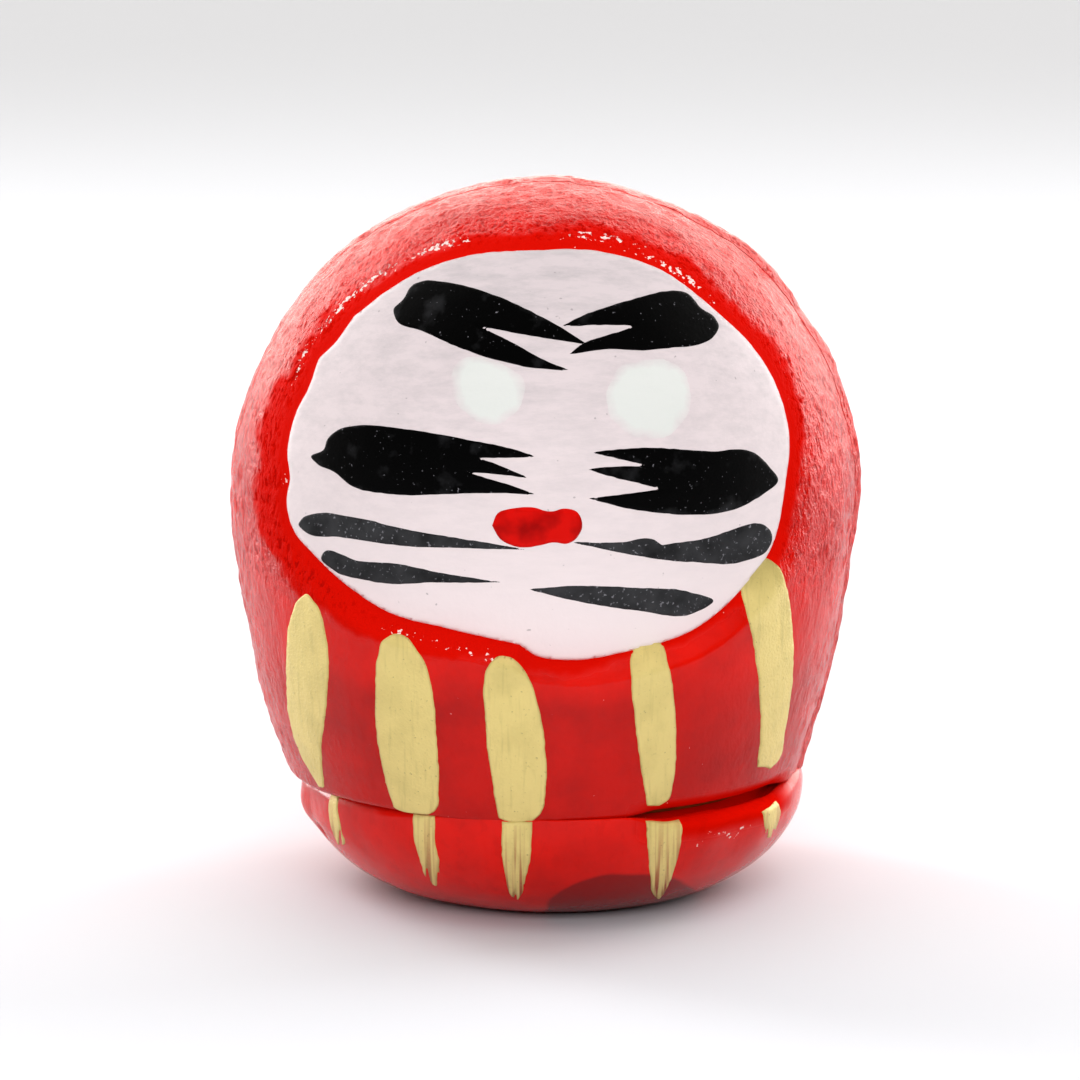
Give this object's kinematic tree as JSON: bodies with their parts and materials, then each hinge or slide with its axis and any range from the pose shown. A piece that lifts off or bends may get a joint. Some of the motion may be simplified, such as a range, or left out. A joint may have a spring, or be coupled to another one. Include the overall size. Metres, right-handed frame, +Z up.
{
  "type": "daruma doll",
  "caption": "Small round red roly-poly doll with a white painted face, black brush-stroke brows and whiskers, a red mouth, gold strokes on its chest and a weighted clay base.",
  "frame": {"origin": "on the floor, under the body's upright axis, within half a millimetre of the middle of the doll's outline from above", "axes": "+Z up, the face looks towards -Y, +X is to the viewer's right when the face is seen"},
  "size_m": [0.0524, 0.0512, 0.0604],
  "materials": {
    "red_lacquered_paper": "gloss",
    "red_lacquered_clay": "gloss",
    "dried_glue": "satin",
    "white_face_paint": "satin",
    "eye_white_paint": "satin",
    "black_ink": "satin",
    "red_mouth_paint": "satin",
    "gold_paint": "satin"
  },
  "bodies": {
    "root": {"front_shell": "red_lacquered_paper", "back_shell": "red_lacquered_paper", "side_seam_strip": "red_lacquered_paper", "base_weight": "red_lacquered_clay", "glue_ring": "dried_glue", "face_coat": "white_face_paint", "eye_white_left": "eye_white_paint", "eye_white_right": "eye_white_paint", "mouth": "red_mouth_paint", "brow_left": "black_ink", "brow_right": "black_ink", "cheek_beard_left": "black_ink", "cheek_beard_right": "black_ink", "whisker_upper_left": "black_ink", "whisker_lower_left": "black_ink", "whisker_upper_right": "black_ink", "whisker_lower_right": "black_ink", "gold_stroke_1": "gold_paint", "gold_stroke_2": "gold_paint", "gold_stroke_3": "gold_paint", "gold_stroke_4": "gold_paint", "gold_stroke_5": "gold_paint", "gold_tail_1": "gold_paint", "gold_tail_2": "gold_paint", "gold_tail_3": "gold_paint", "gold_tail_4": "gold_paint", "gold_tail_5": "gold_paint"}
  },
  "joints": []
}
